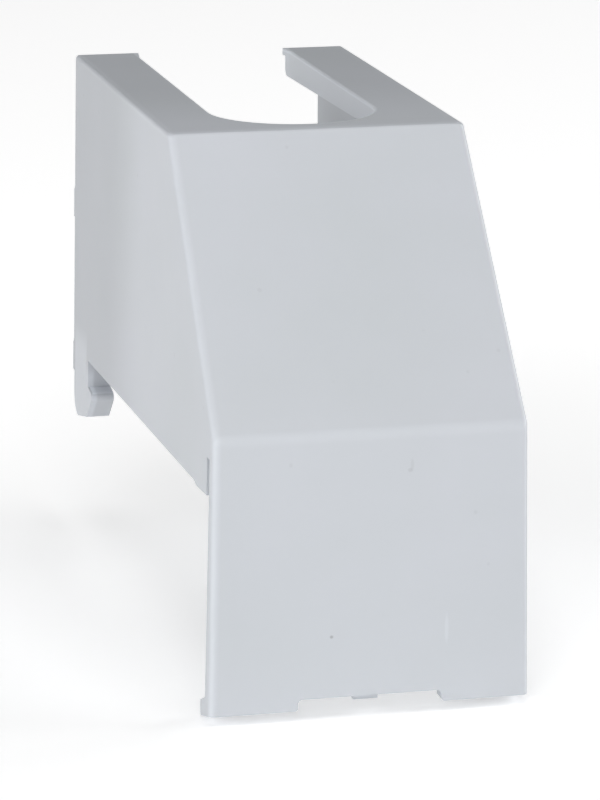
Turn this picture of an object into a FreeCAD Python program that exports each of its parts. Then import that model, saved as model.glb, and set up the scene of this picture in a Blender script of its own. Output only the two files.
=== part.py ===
import FreeCAD, Part
import math
import os

import Sketcher

# Terminal cover for one pole: a thin moulded shell, open behind and below.
# X runs across the cover, Y from the front panel to the back, Z up.
# The origin is on the foot line of the front panel, midway across.

os.makedirs("parts", exist_ok=True)
doc = FreeCAD.newDocument("TerminalCover")

# Driving sizes, in millimetres and degrees.
DRIVING = [
    ("foot_width", 35.0, "width over the foot of the front panel"),
    ("total_height", 57.7, "foot line to top face"),
    ("total_depth", 78.8, "front panel to rear edge"),
    ("panel_height", 30.05, "foot line to the fold"),
    ("slope_angle", 48.5, "rise of the sloping face from level"),
    ("side_draft", 0.95, "lean of each side, narrower to the top"),
    ("wall", 1.4, "side walls, slope and top"),
    ("panel_foot", 2.0, "thickness of the front panel at its foot"),
    ("skirt", 6.55, "fold down to the lower edge of the side walls"),
    ("skirt_fall", 1.35, "how much lower that edge lies at the legs"),
    ("bulge_length", 6.4, "front end of that edge that hangs lower"),
    ("bulge_drop", 0.3, "how much lower it hangs"),
    ("slit_gap", 1.2, "width of the slit behind the front panel"),
    ("slit_cap", 2.4, "fold down to the top of the slit"),
    ("leg_depth", 9.3, "rear legs, front to back"),
    ("leg_inner", 3.05, "foot width in to the inner face of a leg"),
    ("pilaster_inner", 4.1, "foot width in to the pilaster above it"),
    ("pilaster_reach", 9.1, "pilasters, forward of the legs"),
    ("shoulder_rise", 3.0, "height of the taper from leg to pilaster"),
    ("leg_inset", 0.4, "leg, forward of the rear edge"),
    ("heel_drop", 8.85, "wall edge down to the leg's rear corner"),
    ("heel_round", 2.4, "rounding of that corner"),
    ("toe_drop", 7.15, "wall edge down to the leg's front corner"),
    ("toe_setback", 0.8, "that corner, behind the front of the leg"),
    ("nose_reach", 2.3, "nose, forward of the leg"),
    ("nose_drop", 3.25, "wall edge down to the catching face of the nose"),
    ("nose_fall", 0.35, "fall of the catching face to its tip"),
    ("nose_tip", 0.8, "height of the blunt tip of the nose"),
    ("nose_round", 0.55, "rounding of the tip of the nose"),
    ("stop_reach", 0.5, "stop pads, proud of the rear edge"),
    ("stop_height", 3.4, "stop pads, from top to bottom"),
    ("stop_drop", 19.8, "top face down to the end of the upper pads"),
    ("slot_width", 18.6, "cable slot in the top"),
    ("slot_strip", 3.3, "top left standing between crest and slot"),
    ("rim_wall", 1.2, "thickness of the rim under the slot's edge"),
    ("rim_front", 0.9, "rim below the top plate, front end"),
    ("rim_rear", 1.9, "rim below the top plate, rear end"),
    ("rim_round", 0.9, "rounding of the rim's lower rear corners"),
    ("lip_reach", 0.35, "lips at the mouth of the slot, into the slot"),
    ("lip_length", 2.6, "length of those lips"),
    ("lip_height", 0.8, "thickness of those lips"),
    ("notch_width", 15.7, "notch in the foot of the front panel"),
    ("notch_height", 1.25, "height of that notch"),
    ("notch_round", 0.5, "rounding of the notch's upper corners"),
    ("foot_round", 0.35, "rounding of the notch's lower corners"),
    ("catch_reach", 2.2, "foot catches, behind the front panel"),
    ("catch_drop", 0.95, "foot catches, below the foot line"),
    ("catch_height", 1.7, "foot catches, above the foot line"),
    ("catch_bevel", 0.25, "bevel of their lower rear corner"),
    ("sole_start", 0.4, "front of the sloping sole of the catches"),
    ("tab_width", 2.7, "small tab behind the notch"),
    ("tab_reach", 0.9, "tab, behind the front panel"),
    ("tab_foot", 0.2, "lower end of the tab"),
    ("tab_height", 3.2, "top of the tab"),
    ("fold_round", 1.5, "rounding of the fold"),
    ("front_round", 0.75, "rounding beside the panel and the slope"),
    ("top_round", 0.45, "rounding around the top, at its front and sides"),
    ("slot_round", 0.25, "rounding of the slot's upper edge"),
    ("hollow_round", 0.5, "rounding inside, beside the slope"),
]
sizes = doc.addObject("Spreadsheet::Sheet", "Sizes")
for row, (alias, value, meaning) in enumerate(DRIVING, start=1):
    sizes.set("A%d" % row, meaning)
    sizes.set("B%d" % row, str(value))
    sizes.setAlias("B%d" % row, alias)
doc.recompute()

# How far a cut runs past the solid, so that it always goes through.
MARGIN = "5"

# Places that several outlines share, worked out from the driving sizes.
EDGE_FRONT_Z = "(Sizes.panel_height - Sizes.skirt)"
EDGE_REAR_Z = "(" + EDGE_FRONT_Z + " - Sizes.skirt_fall)"
SLIT_TOP_Z = "(Sizes.panel_height - Sizes.slit_cap)"
NOSE_Z = "(" + EDGE_REAR_Z + " - Sizes.nose_drop)"
HEEL_Z = "(" + EDGE_REAR_Z + " - Sizes.heel_drop)"
CREST_Y = "((Sizes.total_height - Sizes.panel_height) / tan(Sizes.slope_angle * 1 deg))"
UNDER_TOP = "(Sizes.total_height - Sizes.wall)"
INNER_FOLD_Z = "(Sizes.panel_height - Sizes.wall * tan((90 - Sizes.slope_angle) / 2 * 1 deg))"
INNER_CREST_Y = "(" + CREST_Y + " + Sizes.wall * tan(Sizes.slope_angle / 2 * 1 deg))"
PROUD_Y = "(Sizes.total_depth + Sizes.stop_reach)"
LEG_Y = "(Sizes.total_depth - Sizes.leg_depth)"
PILASTER_Y = "(" + LEG_Y + " - Sizes.pilaster_reach)"
NOSE_Y = "(" + LEG_Y + " - Sizes.nose_reach)"
SLOT_FRONT_Y = "(" + CREST_Y + " + Sizes.slot_strip)"
SLOT_CENTRE_Y = "(" + SLOT_FRONT_Y + " + Sizes.slot_width / 2)"
RIM_LOW_Z = "(" + UNDER_TOP + " - Sizes.rim_rear)"
CATCH_Y = "(Sizes.panel_foot + Sizes.catch_reach)"
TAB_Y = "(Sizes.panel_foot + Sizes.tab_reach)"


def panel_back(level):
    """Y of the panel's inner face at a height: it thins towards the fold."""
    return ("(Sizes.panel_foot - (Sizes.panel_foot - Sizes.wall) * "
            + level + " / " + INNER_FOLD_Z + ")")


SLIT_Y = "(" + panel_back(SLIT_TOP_Z) + " + Sizes.slit_gap)"
BULGE_Y = "(" + SLIT_Y + " + Sizes.bulge_length)"


def size(expression):
    """Number that an expression of the sizes comes to."""
    return float(sizes.evalExpression(expression))


# Helpers for sketches.
def origin_plane(body, role):
    return [item for item in body.Origin.OriginFeatures if item.Role == role][0]


def start_sketch(body, name, role, offset=None):
    """Empty sketch on an origin plane, or moved off it along its normal."""
    sketch = body.newObject("Sketcher::SketchObject", name)
    sketch.AttachmentSupport = (origin_plane(body, role), [""])
    sketch.MapMode = "FlatFace"
    if offset:
        sketch.setExpression("AttachmentOffset.Base.z", offset)
    return sketch


def pin_point(sketch, geometry, end, across, up):
    """Hold an end of a line, or the centre of an arc, at two expressions."""
    for kind, axis, expression in (("DistanceX", -2, across), ("DistanceY", -1, up)):
        if expression is None:
            continue
        if expression == "0":
            sketch.addConstraint(Sketcher.Constraint("PointOnObject", geometry, end, axis))
            continue
        start = size(expression)
        number = sketch.addConstraint(Sketcher.Constraint(kind, -1, 1, geometry, end, start))
        sketch.setExpression("Constraints[%d]" % number, expression)


def closed_outline(sketch, corners, bends=None):
    """Closed outline through corners given as expressions.

    A bend names a corner by its number and gives the centre of the arc that
    runs from it, turning left, to the next corner in place of a line.
    """
    places = [FreeCAD.Vector(size(across), size(up), 0) for across, up in corners]
    centres = bends or {}
    count = len(corners)
    for number in range(count):
        first = places[number]
        last = places[(number + 1) % count]
        if number in centres:
            middle = FreeCAD.Vector(size(centres[number][0]), size(centres[number][1]), 0)
            start = math.atan2(first.y - middle.y, first.x - middle.x)
            end = math.atan2(last.y - middle.y, last.x - middle.x)
            circle = Part.Circle(middle, FreeCAD.Vector(0, 0, 1), (first - middle).Length)
            sketch.addGeometry(Part.ArcOfCircle(circle, start, end), False)
        else:
            sketch.addGeometry(Part.LineSegment(first, last), False)
    for number in range(count):
        following = (number + 1) % count
        sketch.addConstraint(Sketcher.Constraint("Coincident", number, 2, following, 1))
    for number, (across, up) in enumerate(corners):
        pin_point(sketch, number, 1, across, up)
    for number, (across, up) in centres.items():
        pin_point(sketch, number, 3, None, up)


def slot_outline(sketch, half_width, rear):
    """Two straight sides that run to the rear, and a half circle in front."""
    corners = [
        ("(-(" + half_width + "))", rear),
        ("(-(" + half_width + "))", SLOT_CENTRE_Y),
        ("(" + half_width + ")", SLOT_CENTRE_Y),
        ("(" + half_width + ")", rear),
    ]
    closed_outline(sketch, corners, {1: ("0", SLOT_CENTRE_Y)})


# Helpers for features.
def add_feature(body, kind, name, sketch, length, both_ways=False, reverse=False):
    """Pad or pocket of a sketch: a pad must add material, a pocket take some."""
    before = body.Shape.Volume if body.Tip else 0.0
    feature = body.newObject("PartDesign::" + kind, name)
    feature.Profile = sketch
    feature.Reversed = reverse
    if both_ways:
        feature.SideType = "Symmetric"
    feature.setExpression("Length", length)
    doc.recompute()
    change = feature.Shape.Volume - before
    if (change > 0) != (kind == "Pad"):
        raise RuntimeError(name + " left the solid as it was")
    return feature


def names_of(items, prefix, wanted):
    """Names of the faces or edges that pass a test."""
    return [prefix + str(number) for number, item in enumerate(items, start=1) if wanted(item)]


def lean_faces(body, name, distance, outwards):
    """Draft the upright faces that stand at a distance from the middle."""
    base = body.Tip

    def stands_there(face):
        upright = abs(face.normalAt(0, 0).x) > 0.999
        return upright and abs(abs(face.CenterOfMass.x) - size(distance)) < 0.001

    draft = body.newObject("PartDesign::Draft", name)
    draft.Base = (base, names_of(base.Shape.Faces, "Face", stands_there))
    draft.NeutralPlane = (origin_plane(body, "XY_Plane"), [""])
    draft.Reversed = outwards
    doc.recompute()
    draft.setExpression("Angle", "Sizes.side_draft")
    doc.recompute()
    return draft


def round_edges(body, name, radius, wanted):
    """Fillet every edge that passes a test."""
    base = body.Tip
    names = names_of(base.Shape.Edges, "Edge", wanted)
    if not names:
        raise RuntimeError(name + " found no edge")
    fillet = body.newObject("PartDesign::Fillet", name)
    fillet.Base = (base, names)
    fillet.setExpression("Radius", radius)
    doc.recompute()
    return fillet


# Tests that pick edges by where they lie.
def near(value, expression, allowed=0.01):
    return abs(value - size(expression)) < allowed


def runs_along(edge, axis):
    """True for a straight edge along one axis: 0 is X, 1 is Y and 2 is Z."""
    first = edge.Vertexes[0].Point
    last = edge.Vertexes[-1].Point
    return edge.Length - abs(last[axis] - first[axis]) < 0.001


def across_at(y_place, z_place):
    """Test for edges that run across the cover through a point of the side view."""
    def wanted(edge):
        middle = edge.CenterOfMass
        return runs_along(edge, 0) and near(middle.y, y_place) and near(middle.z, z_place)
    return wanted


def on_side(edge, half_width):
    """True for an edge that lies on one of the leaning side faces."""
    lean = math.tan(math.radians(size("Sizes.side_draft")))
    hand = 1 if edge.CenterOfMass.x > 0 else -1
    return all(abs(hand * vertex.X - size(half_width) + vertex.Z * lean) < 0.01
               for vertex in edge.Vertexes)


def passes(edge, y_place, z_place):
    """True for an edge whose ends both lie at a Y or a Z of the side view."""
    return all((y_place is None or near(vertex.Y, y_place))
               and (z_place is None or near(vertex.Z, z_place)) for vertex in edge.Vertexes)


OUTER_HALF = "(Sizes.foot_width / 2)"
INNER_HALF = "(Sizes.foot_width / 2 - Sizes.wall)"

cover = doc.addObject("PartDesign::Body", "Cover")
cover.Label = "terminal_cover"


# Block: the side view of the whole cover, padded right across it.
def stop_pad(level, below):
    """Stop pad on the rear edge, from its top down, with bevelled ends."""
    top = "(" + level + " + Sizes.stop_height)"
    return [
        ("Sizes.total_depth", "(" + top + " + Sizes.stop_reach)"),
        (PROUD_Y, top),
        (PROUD_Y, level),
        (below, level),
    ]


HEEL_Y = "(Sizes.total_depth - Sizes.leg_inset)"
front_and_top = [
    ("0", "0"),
    ("0", "Sizes.panel_height"),
    (CREST_Y, "Sizes.total_height"),
    ("Sizes.total_depth", "Sizes.total_height"),
]
legs = [
    (HEEL_Y, HEEL_Z),
    ("(" + LEG_Y + " + Sizes.toe_setback)", "(" + EDGE_REAR_Z + " - Sizes.toe_drop)"),
    (NOSE_Y, "(" + NOSE_Z + " - Sizes.nose_fall - Sizes.nose_tip)"),
    (NOSE_Y, "(" + NOSE_Z + " - Sizes.nose_fall)"),
    (LEG_Y, NOSE_Z),
]
wall_edges = [
    (LEG_Y, EDGE_REAR_Z),
    (BULGE_Y, EDGE_FRONT_Z),
    ("(" + BULGE_Y + " - 5 * Sizes.bulge_drop)", "(" + EDGE_FRONT_Z + " - Sizes.bulge_drop)"),
    (SLIT_Y, EDGE_FRONT_Z),
    (SLIT_Y, SLIT_TOP_Z),
    (panel_back(SLIT_TOP_Z), SLIT_TOP_Z),
]
catches = [
    (panel_back("Sizes.catch_height"), "Sizes.catch_height"),
    (CATCH_Y, "(Sizes.catch_height - Sizes.catch_drop)"),
    (CATCH_Y, "(Sizes.catch_bevel - Sizes.catch_drop)"),
    ("(" + CATCH_Y + " - Sizes.catch_bevel)", "(-Sizes.catch_drop)"),
    ("Sizes.sole_start", "0"),
]
stops = stop_pad("(Sizes.total_height - Sizes.stop_drop)", "Sizes.total_depth")
stops = stops + stop_pad(NOSE_Z, HEEL_Y)
side_view = start_sketch(cover, "SideView", "YZ_Plane")
closed_outline(side_view, front_and_top + stops + legs + wall_edges + catches)
add_feature(cover, "Pad", "Block", side_view, "Sizes.foot_width", both_ways=True)

# Hollow: between the side walls, from the panel back to the pilasters, which
# reach further forward than the noses below them.
hollow_view = start_sketch(cover, "HollowView", "YZ_Plane")
closed_outline(hollow_view, [
    ("(-" + MARGIN + ")", "0"),
    ("Sizes.panel_foot", "0"),
    ("Sizes.wall", INNER_FOLD_Z),
    (INNER_CREST_Y, UNDER_TOP),
    (PILASTER_Y, UNDER_TOP),
    (PILASTER_Y, "(-" + MARGIN + ")"),
    ("(-" + MARGIN + ")", "(-" + MARGIN + ")"),
])
add_feature(cover, "Pocket", "Hollow", hollow_view, "2 * " + INNER_HALF, both_ways=True)

# Gap between the legs and, wider apart, between the pilasters above them.
SHOULDER_Z = "(" + EDGE_REAR_Z + " + Sizes.shoulder_rise)"
GAP_FOOT_Z = "(" + HEEL_Z + " - " + MARGIN + ")"
LEG_HALF = "(Sizes.foot_width / 2 - Sizes.leg_inner)"
PILASTER_HALF = "(Sizes.foot_width / 2 - Sizes.pilaster_inner)"
gap_half = [
    (LEG_HALF, GAP_FOOT_Z),
    (LEG_HALF, EDGE_REAR_Z),
    (PILASTER_HALF, SHOULDER_Z),
    (PILASTER_HALF, UNDER_TOP),
]
gap_other_half = [("(-" + across + ")", up) for across, up in reversed(gap_half)]
gap_view = start_sketch(cover, "LegGapView", "XZ_Plane", "-(" + PROUD_Y + " + Sizes.stop_reach)")
closed_outline(gap_view, gap_half + gap_other_half)
GAP_LENGTH = "(Sizes.leg_depth + Sizes.pilaster_reach + 3 * Sizes.stop_reach)"
add_feature(cover, "Pocket", "LegGap", gap_view, GAP_LENGTH, reverse=True)

# Draft: the outer sides and the hollow lean in alike, so the walls stay even.
lean_faces(cover, "OuterDraft", OUTER_HALF, False)
lean_faces(cover, "InnerDraft", INNER_HALF, True)

# Rim under the edge of the cable slot, a little deeper towards the back.
rim_plan = start_sketch(cover, "RimPlan", "XY_Plane", UNDER_TOP)
slot_outline(rim_plan, "Sizes.slot_width / 2 + Sizes.rim_wall", "Sizes.total_depth")
add_feature(cover, "Pad", "Rim", rim_plan, "Sizes.rim_rear", reverse=True)
rim_view = start_sketch(cover, "RimTrimView", "YZ_Plane")
RIM_FRONT_Y = "(" + SLOT_FRONT_Y + " - Sizes.rim_wall)"
RIM_BEND_Y = "(Sizes.total_depth - Sizes.rim_round)"
RIM_BEND_Z = "(" + RIM_LOW_Z + " + Sizes.rim_round)"
RIM_CLEAR_Z = "(" + RIM_LOW_Z + " - Sizes.rim_wall)"
closed_outline(rim_view, [
    (RIM_FRONT_Y, RIM_CLEAR_Z),
    (RIM_FRONT_Y, "(" + UNDER_TOP + " - Sizes.rim_front)"),
    (RIM_BEND_Y, RIM_LOW_Z),
    ("Sizes.total_depth", RIM_BEND_Z),
    (PROUD_Y, RIM_BEND_Z),
    (PROUD_Y, RIM_CLEAR_Z),
], {2: (RIM_BEND_Y, RIM_BEND_Z)})
RIM_TRIM_WIDTH = "(Sizes.slot_width + 3 * Sizes.rim_wall)"
add_feature(cover, "Pocket", "RimTrim", rim_view, RIM_TRIM_WIDTH, both_ways=True)

# Cable slot through the top and its rim, open to the back.
slot_plan = start_sketch(cover, "SlotPlan", "XY_Plane", "Sizes.total_height")
slot_outline(slot_plan, "Sizes.slot_width / 2", "(" + PROUD_Y + " + Sizes.stop_reach)")
add_feature(cover, "Pocket", "CableSlot", slot_plan, "Sizes.wall + 2 * Sizes.rim_rear")

# Lips that narrow the mouth of the slot, one on each side.
lip_plan = start_sketch(cover, "LipPlan", "XY_Plane", "Sizes.total_height")
LIP_EDGE = "(Sizes.slot_width / 2 - Sizes.lip_reach)"
LIP_ROOT = "(Sizes.slot_width / 2 + Sizes.rim_wall / 2)"
closed_outline(lip_plan, [
    (LIP_ROOT, "Sizes.total_depth"),
    (LIP_EDGE, "Sizes.total_depth"),
    (LIP_EDGE, "(Sizes.total_depth - Sizes.lip_reach)"),
    ("(Sizes.slot_width / 2)", "(Sizes.total_depth - Sizes.lip_length)"),
    (LIP_ROOT, "(Sizes.total_depth - Sizes.lip_length)"),
])
lip = add_feature(cover, "Pad", "Lip", lip_plan, "Sizes.lip_height", reverse=True)
lips = cover.newObject("PartDesign::Mirrored", "Lips")
lips.Originals = [lip]
lips.MirrorPlane = (origin_plane(cover, "YZ_Plane"), [""])
cover.Tip = lips
doc.recompute()

# Small tab inside the panel, whose end shows through the notch.
tab_view = start_sketch(cover, "TabView", "YZ_Plane")
closed_outline(tab_view, [
    ("(Sizes.panel_foot / 2)", "Sizes.tab_foot"),
    (TAB_Y, "Sizes.tab_foot"),
    (TAB_Y, "(Sizes.tab_height - Sizes.tab_reach)"),
    (panel_back("Sizes.tab_height"), "Sizes.tab_height"),
    ("(Sizes.panel_foot / 2)", "Sizes.tab_height"),
])
add_feature(cover, "Pad", "Tab", tab_view, "Sizes.tab_width", both_ways=True)

# Notch in the foot of the front panel, through the panel only.
notch_view = start_sketch(cover, "NotchView", "XZ_Plane")
closed_outline(notch_view, [
    ("(-Sizes.notch_width / 2)", "(-" + MARGIN + ")"),
    ("(Sizes.notch_width / 2)", "(-" + MARGIN + ")"),
    ("(Sizes.notch_width / 2)", "Sizes.notch_height"),
    ("(-Sizes.notch_width / 2)", "Sizes.notch_height"),
])
add_feature(cover, "Pocket", "Notch", notch_view, "Sizes.panel_foot")

# Rounded edges. The one beside the panel runs on over the fold and up the
# slope, and the one at the crest runs on round both sides of the top.
round_edges(cover, "NotchRound", "Sizes.notch_round", lambda edge: (
    runs_along(edge, 1) and near(abs(edge.CenterOfMass.x), "Sizes.notch_width / 2")
    and near(edge.CenterOfMass.z, "Sizes.notch_height")))
round_edges(cover, "FootRound", "Sizes.foot_round", lambda edge: (
    runs_along(edge, 1) and near(abs(edge.CenterOfMass.x), "Sizes.notch_width / 2")
    and near(edge.CenterOfMass.z, "0")))
round_edges(cover, "NoseRound", "Sizes.nose_round", lambda edge: (
    runs_along(edge, 0) and near(edge.CenterOfMass.y, NOSE_Y)))
round_edges(cover, "HeelRound", "Sizes.heel_round", across_at(HEEL_Y, HEEL_Z))
round_edges(cover, "FoldRound", "Sizes.fold_round", across_at("0", "Sizes.panel_height"))
round_edges(cover, "FrontRound", "Sizes.front_round", lambda edge: (
    on_side(edge, OUTER_HALF) and passes(edge, "0", None)))
round_edges(cover, "TopRound", "Sizes.top_round", across_at(CREST_Y, "Sizes.total_height"))
round_edges(cover, "SlotRound", "Sizes.slot_round", lambda edge: (
    passes(edge, None, "Sizes.total_height") and near(edge.CenterOfMass.z, "Sizes.total_height")
    and all(abs(vertex.X) < size("Sizes.slot_width / 2") + 0.01
            and vertex.Y < size("Sizes.total_depth - Sizes.lip_length") + 0.01
            for vertex in edge.Vertexes)))
round_edges(cover, "HollowRound", "Sizes.hollow_round", lambda edge: (
    on_side(edge, INNER_HALF) and edge.CenterOfMass.z > size(INNER_FOLD_Z)
    and max(vertex.Y for vertex in edge.Vertexes) - 0.01 < size(INNER_CREST_Y)))

for item in doc.Objects:
    if "Invalid" in item.State or "Error" in item.State:
        raise RuntimeError(item.Name + " failed")
if cover.Shape.isNull() or not cover.Shape.isValid():
    raise RuntimeError("terminal_cover is not a valid solid")
cover.Shape.exportStep("parts/" + cover.Label + ".step")
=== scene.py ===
import math

import bpy
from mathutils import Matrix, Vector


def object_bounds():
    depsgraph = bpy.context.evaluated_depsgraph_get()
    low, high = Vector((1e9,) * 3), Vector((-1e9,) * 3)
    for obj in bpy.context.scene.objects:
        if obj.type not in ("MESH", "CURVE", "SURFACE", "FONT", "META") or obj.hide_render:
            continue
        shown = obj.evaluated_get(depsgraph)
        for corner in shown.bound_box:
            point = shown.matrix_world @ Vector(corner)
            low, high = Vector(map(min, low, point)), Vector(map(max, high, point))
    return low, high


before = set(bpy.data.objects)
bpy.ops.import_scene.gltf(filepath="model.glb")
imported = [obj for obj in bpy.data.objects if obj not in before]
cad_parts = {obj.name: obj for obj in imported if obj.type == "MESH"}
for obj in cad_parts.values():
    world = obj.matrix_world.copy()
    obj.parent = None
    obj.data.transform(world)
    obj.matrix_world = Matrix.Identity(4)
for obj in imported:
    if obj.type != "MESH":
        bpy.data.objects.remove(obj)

cad_low, cad_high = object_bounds()


# Cover.
# One injection moulding in light grey plastic, satin all over, with no paint or print. Its
# outer edges carry painted highlights and its front has three small marks.
def figure(tree, operation, *values):
    sum_node = tree.nodes.new("ShaderNodeMath")
    sum_node.operation = operation
    for socket, value in zip(sum_node.inputs, values):
        if isinstance(value, float):
            socket.default_value = value
        else:
            tree.links.new(value, socket)
    return sum_node.outputs["Value"]


def all_of(tree, share, *others):
    for other in others:
        share = figure(tree, "MULTIPLY", share, other)
    return share


def any_of(tree, share, *others):
    for other in others:
        share = figure(tree, "MAXIMUM", share, other)
    return share


def fade(tree, distance, near, far, most=1.0):
    soft = tree.nodes.new("ShaderNodeMapRange")
    soft.interpolation_type = "SMOOTHSTEP"
    soft.inputs["From Min"].default_value = near
    soft.inputs["From Max"].default_value = far
    soft.inputs["To Min"].default_value = most
    soft.inputs["To Max"].default_value = 0.0
    tree.links.new(distance, soft.inputs["Value"])
    return soft.outputs["Result"]


def depth_under(tree, point, inward, offset):
    along = tree.nodes.new("ShaderNodeVectorMath")
    along.operation = "DOT_PRODUCT"
    along.inputs[1].default_value = inward
    tree.links.new(point, along.inputs[0])
    return figure(tree, "ADD", along.outputs["Value"], offset)


def small_mark(tree, point, centre, reach):
    shift = tree.nodes.new("ShaderNodeVectorMath")
    shift.operation = "SUBTRACT"
    shift.inputs[1].default_value = centre
    tree.links.new(point, shift.inputs[0])
    shrink = tree.nodes.new("ShaderNodeVectorMath")
    shrink.operation = "DIVIDE"
    shrink.inputs[1].default_value = reach
    tree.links.new(shift.outputs["Vector"], shrink.inputs[0])
    size = tree.nodes.new("ShaderNodeVectorMath")
    size.operation = "LENGTH"
    tree.links.new(shrink.outputs["Vector"], size.inputs[0])
    return fade(tree, size.outputs["Value"], 0.5, 1.3)


# Multiplies a colour by a tone over a mask. It draws the real specks and marks, and also the
# painted shade and painted highlights below.
def stain_and_painted_light(tree, colour, amount, tone):
    mixed = tree.nodes.new("ShaderNodeMix")
    mixed.data_type = "RGBA"
    mixed.blend_type = "MULTIPLY"
    mixed.inputs["B"].default_value = (tone, tone, tone, 1.0)
    tree.links.new(amount, mixed.inputs["Factor"])
    tree.links.new(colour, mixed.inputs["A"])
    return mixed.outputs["Result"]


def grey_plastic():
    material = bpy.data.materials.new("grey_plastic")
    material.use_nodes = True
    tree = material.node_tree
    nodes, links = tree.nodes, tree.links
    shader = nodes["Principled BSDF"]
    shader.inputs["Metallic"].default_value = 0.0
    shader.inputs["IOR"].default_value = 1.5
    shader.inputs["Subsurface Weight"].default_value = 0.0
    place = nodes.new("ShaderNodeTexCoord").outputs["Object"]

    # Faint clouds of shade, as pigment and flow leave them.
    clouds = nodes.new("ShaderNodeTexNoise")
    clouds.inputs["Scale"].default_value = 38.0
    clouds.inputs["Detail"].default_value = 3.0
    clouds.inputs["Roughness"].default_value = 0.55
    links.new(place, clouds.inputs["Vector"])
    shade = nodes.new("ShaderNodeValToRGB")
    shade.color_ramp.elements[0].position = 0.3
    shade.color_ramp.elements[0].color = (0.554, 0.582, 0.613, 1.0)
    shade.color_ramp.elements[1].position = 0.7
    shade.color_ramp.elements[1].color = (0.579, 0.601, 0.644, 1.0)
    links.new(clouds.outputs["Fac"], shade.inputs["Fac"])
    colour = shade.outputs["Color"]

    # A few small dark specks.
    grains = nodes.new("ShaderNodeTexVoronoi")
    grains.inputs["Scale"].default_value = 190.0
    links.new(place, grains.inputs["Vector"])
    specks = fade(tree, grains.outputs["Distance"], 0.03, 0.065, most=0.4)
    colour = stain_and_painted_light(tree, colour, specks, 0.86)

    # How deep a point lies under each outer face: the panel and the slope in
    # front, the top, the side walls, which lean in a little, and the rear.
    top_height, half_width, rear_edge = 0.0577, 0.0175, 0.0788
    axes = nodes.new("ShaderNodeSeparateXYZ")
    links.new(place, axes.inputs["Vector"])
    across, back, up = axes.outputs["X"], axes.outputs["Y"], axes.outputs["Z"]
    either_side = nodes.new("ShaderNodeVectorMath")
    either_side.operation = "ABSOLUTE"
    links.new(place, either_side.inputs[0])
    panel = back
    slope = depth_under(tree, place, (0.0, 0.74896, -0.66262), 0.019912)
    top = depth_under(tree, place, (0.0, 0.0, -1.0), top_height)
    side = depth_under(tree, either_side.outputs["Vector"], (-1.0, 0.0, -0.01658), half_width)
    rear = figure(tree, "SUBTRACT", rear_edge, back)
    front = figure(tree, "MINIMUM", panel, slope)

    # Painted shade: the rear of the shell is drawn a shade deeper than the front, on the walls
    # and on the top, standing in for the light falling off towards the back. The outsides of
    # the snap legs are not, but for their rear edges; their inner faces, in the shade under the
    # walls, are.
    top_skin = fade(tree, top, 0.0001, 0.0003)
    above_legs = fade(tree, up, 0.0260, 0.0220)
    leg_insides = fade(tree, side, 0.0009, 0.0005)
    leg_rears = fade(tree, rear, 0.0005, 0.0013)
    before_legs = all_of(tree, fade(tree, back, 0.0699, 0.0712), fade(tree, up, 0.0215, 0.0200))
    wall_painted_shade = all_of(
        tree,
        fade(tree, back, 0.0585, 0.0365),
        fade(tree, side, 0.0036, 0.0046),
        any_of(tree, above_legs, leg_insides, leg_rears, before_legs),
        figure(tree, "SUBTRACT", 1.0, top_skin))
    top_painted_shade = all_of(tree, fade(tree, back, 0.0560, 0.0280, most=0.65), top_skin)
    colour = stain_and_painted_light(tree, colour, figure(tree, "ADD", wall_painted_shade, top_painted_shade), 0.84)

    # Painted highlights on the outer edges: on those of the side walls, most of all on the
    # left, on the edge of the top along the crest, and, less, on the blunt fold.
    from_edge = figure(
        tree, "MAXIMUM",
        figure(tree, "MULTIPLY", side, 0.72),
        figure(tree, "MULTIPLY", figure(tree, "MINIMUM", front, top), 1.2))
    leftness = nodes.new("ShaderNodeMapRange")
    leftness.inputs["From Min"].default_value = -0.016
    leftness.inputs["From Max"].default_value = 0.016
    leftness.inputs["To Min"].default_value = 1.0
    leftness.inputs["To Max"].default_value = 0.3
    links.new(across, leftness.inputs["Value"])
    edge_highlight = all_of(tree, fade(tree, from_edge, 0.0001, 0.0008), leftness.outputs["Result"])
    colour = stain_and_painted_light(tree, colour, edge_highlight, 1.12)
    crest = all_of(tree, fade(tree, front, 0.0002, 0.0014), fade(tree, top, 0.00002, 0.00012))
    colour = stain_and_painted_light(tree, colour, crest, 1.14)
    from_fold = figure(tree, "MAXIMUM", figure(tree, "MULTIPLY", panel, 1.7), slope)
    colour = stain_and_painted_light(tree, colour, fade(tree, from_fold, 0.0001, 0.0008), 1.05)

    # Painted light: the faces on which the noses of the snap legs hold are drawn paler than the
    # plastic around them, in place of light falling on them.
    nose_middle = 0.06835
    from_hold = depth_under(tree, place, (0.0, 0.15050, -0.98861), 0.008226)
    along_nose = figure(tree, "SUBTRACT", back, nose_middle)
    painted_hold_light = all_of(
        tree,
        fade(tree, figure(tree, "ABSOLUTE", from_hold), 0.00002, 0.00012),
        fade(tree, figure(tree, "ABSOLUTE", along_nose), 0.00100, 0.00115),
        fade(tree, side, 0.0003, 0.0001))
    colour = stain_and_painted_light(tree, colour, painted_hold_light, 1.42)

    # The wall of the cable slot, which has a half round front end, is painted a touch lighter
    # than the top, and its edge carries a painted highlight.
    slot_centre, slot_radius = 0.03706, 0.0093
    before_centre = figure(tree, "MINIMUM", figure(tree, "SUBTRACT", back, slot_centre), 0.0)
    slot_axes = nodes.new("ShaderNodeCombineXYZ")
    links.new(across, slot_axes.inputs["X"])
    links.new(before_centre, slot_axes.inputs["Y"])
    slot_reach = nodes.new("ShaderNodeVectorMath")
    slot_reach.operation = "LENGTH"
    links.new(slot_axes.outputs["Vector"], slot_reach.inputs[0])
    slot_wall_light = all_of(
        tree,
        fade(tree, slot_reach.outputs["Value"], slot_radius + 0.0002, slot_radius + 0.0004),
        fade(tree, top, 0.0034, 0.0040))
    colour = stain_and_painted_light(tree, colour, slot_wall_light, 1.055)
    slot_edge_highlight = all_of(tree, slot_wall_light, fade(tree, top, 0.00025, 0.00040))
    colour = stain_and_painted_light(tree, colour, slot_edge_highlight, 1.15)

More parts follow.
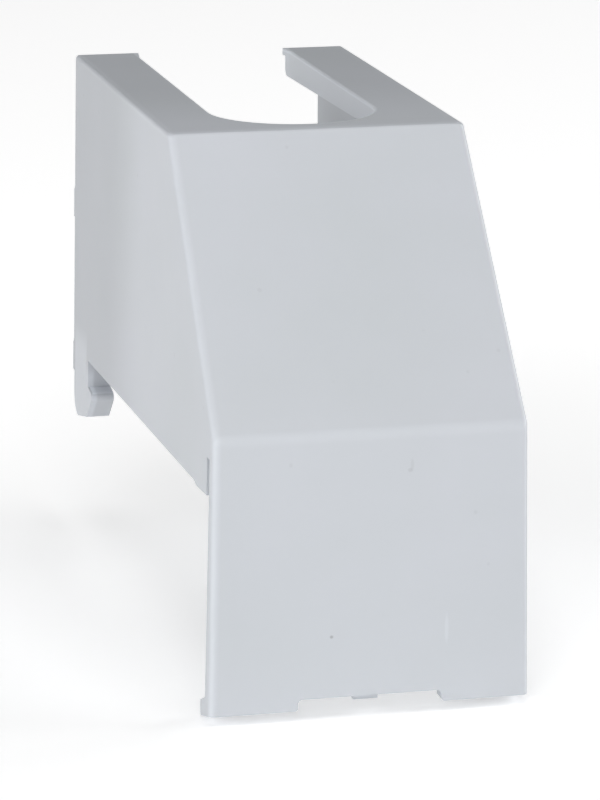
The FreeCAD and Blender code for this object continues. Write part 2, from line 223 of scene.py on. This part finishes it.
    # Marks on the panel: a dark dot, a nick and its foot, and a pale scratch,
    # each with its centre, its reach and its tone.
    marks = (
        ((-0.00426, 0.0, 0.00798), (0.00020, 0.0006, 0.00018), 0.66),
        ((0.00435, 0.0, 0.02622), (0.00020, 0.0006, 0.00070), 0.93),
        ((0.00412, 0.0, 0.02568), (0.00026, 0.0006, 0.00024), 0.89),
        ((0.00830, 0.0, 0.00810), (0.00022, 0.0006, 0.00165), 1.065),
    )
    for centre, reach, tone in marks:
        colour = stain_and_painted_light(tree, colour, small_mark(tree, place, centre, reach), tone)
    links.new(colour, shader.inputs["Base Color"])

    # A fine and shallow grain of about two tenths of a millimetre.
    grain = nodes.new("ShaderNodeTexNoise")
    grain.inputs["Scale"].default_value = 5200.0
    grain.inputs["Detail"].default_value = 2.0
    links.new(place, grain.inputs["Vector"])
    relief = nodes.new("ShaderNodeBump")
    relief.inputs["Strength"].default_value = 0.09
    relief.inputs["Distance"].default_value = 0.00002
    links.new(grain.outputs["Fac"], relief.inputs["Height"])
    links.new(relief.outputs["Normal"], shader.inputs["Normal"])

    # Gloss: satin, a little uneven, and smoother on the edges with the painted highlight.
    polish = nodes.new("ShaderNodeTexNoise")
    polish.inputs["Scale"].default_value = 90.0
    polish.inputs["Detail"].default_value = 4.0
    links.new(place, polish.inputs["Vector"])
    satin = nodes.new("ShaderNodeMapRange")
    satin.inputs["To Min"].default_value = 0.42
    satin.inputs["To Max"].default_value = 0.52
    links.new(polish.outputs["Fac"], satin.inputs["Value"])
    smoother = figure(tree, "MULTIPLY", edge_highlight, 0.06)
    gloss = figure(tree, "SUBTRACT", satin.outputs["Result"], smoother)
    links.new(gloss, shader.inputs["Roughness"])
    return material


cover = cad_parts["terminal_cover"]
cover.data.materials.clear()
cover.data.materials.append(grey_plastic())


# Floor.
# A plain pale sheet of paper, just under the lowest point of the cover. It
# glows a little, as a sheet that is lit from below, and more so at the back.
floor_size, floor_gap = 6.0, 0.0002
bpy.ops.object.select_all(action="DESELECT")
bpy.ops.mesh.primitive_plane_add(size=floor_size, location=(0.0, 0.0, cad_low[2] - floor_gap))
floor = bpy.context.object
floor.name = "floor"
paper = bpy.data.materials.new("white_paper")
paper.use_nodes = True
sheet = paper.node_tree.nodes["Principled BSDF"]
sheet.inputs["Base Color"].default_value = (0.9, 0.9, 0.9, 1.0)
sheet.inputs["Roughness"].default_value = 0.9
sheet.inputs["Emission Color"].default_value = (1.0, 1.0, 1.0, 1.0)
spot = paper.node_tree.nodes.new("ShaderNodeTexCoord")
spot_axes = paper.node_tree.nodes.new("ShaderNodeSeparateXYZ")
paper.node_tree.links.new(spot.outputs["Object"], spot_axes.inputs["Vector"])
glow = paper.node_tree.nodes.new("ShaderNodeMapRange")
glow.interpolation_type = "SMOOTHSTEP"
glow.inputs["From Min"].default_value = 0.06
glow.inputs["From Max"].default_value = 0.20
glow.inputs["To Min"].default_value = 0.335
glow.inputs["To Max"].default_value = 0.485
paper.node_tree.links.new(spot_axes.outputs["Y"], glow.inputs["Value"])
paper.node_tree.links.new(glow.outputs["Result"], sheet.inputs["Emission Strength"])
floor.data.materials.append(paper)


# Light and camera.
# A room that is pale all round and dim overhead, with wide soft lights at the
# left, the right and high in front, and a small one above the camera, which
# stands about 45 cm from the middle of the cover.
world = bpy.data.worlds.new("pale_room")
bpy.context.scene.world = world
world.use_nodes = True
room = world.node_tree.nodes["Background"]
room.inputs["Color"].default_value = (1.0, 1.0, 1.0, 1.0)
way_out = world.node_tree.nodes.new("ShaderNodeTexCoord")
way_axes = world.node_tree.nodes.new("ShaderNodeSeparateXYZ")
world.node_tree.links.new(way_out.outputs["Generated"], way_axes.inputs["Vector"])
walls = world.node_tree.nodes.new("ShaderNodeMapRange")
walls.interpolation_type = "SMOOTHSTEP"
walls.inputs["From Min"].default_value = 0.0
walls.inputs["From Max"].default_value = 0.45
walls.inputs["To Min"].default_value = 0.64
walls.inputs["To Max"].default_value = 0.0
world.node_tree.links.new(way_axes.outputs["Z"], walls.inputs["Value"])
world.node_tree.links.new(walls.outputs["Result"], room.inputs["Strength"])


def soft_light(name, place, aim, width, power):
    data = bpy.data.lights.new(name, "AREA")
    data.shape = "SQUARE"
    data.size = width
    data.energy = power
    lamp = bpy.data.objects.new(name, data)
    bpy.context.scene.collection.objects.link(lamp)
    lamp.location = place
    way = [aim[axis] - place[axis] for axis in range(3)]
    tilt = math.atan2(math.hypot(way[0], way[1]), -way[2])
    turn = math.atan2(way[1], way[0]) - math.pi / 2
    lamp.rotation_euler = (tilt, 0.0, turn)


middle = (0.0, 0.04, 0.03)
wide, small = 1.2, 0.35
soft_light("left_light", (-1.932, 0.040, 0.548), middle, wide, power=12.2)
soft_light("right_light", (1.879, 0.040, 0.714), middle, wide, power=19.5)
soft_light("high_light", (0.0, -0.644, 1.909), middle, wide, power=14.2)
soft_light("near_light", (-0.186, -0.471, 0.284), middle, small, power=1.26)

eye = bpy.data.cameras.new("camera")
eye.sensor_width = 36.0
eye.lens = 178.46
camera = bpy.data.objects.new("camera", eye)
bpy.context.scene.collection.objects.link(camera)
camera.location = (-0.10139, -0.38625, 0.13414)
camera.rotation_euler = (math.radians(75.842), math.radians(-0.222), math.radians(-13.568))
bpy.context.scene.camera = camera

bpy.context.scene.view_settings.view_transform = "Standard"
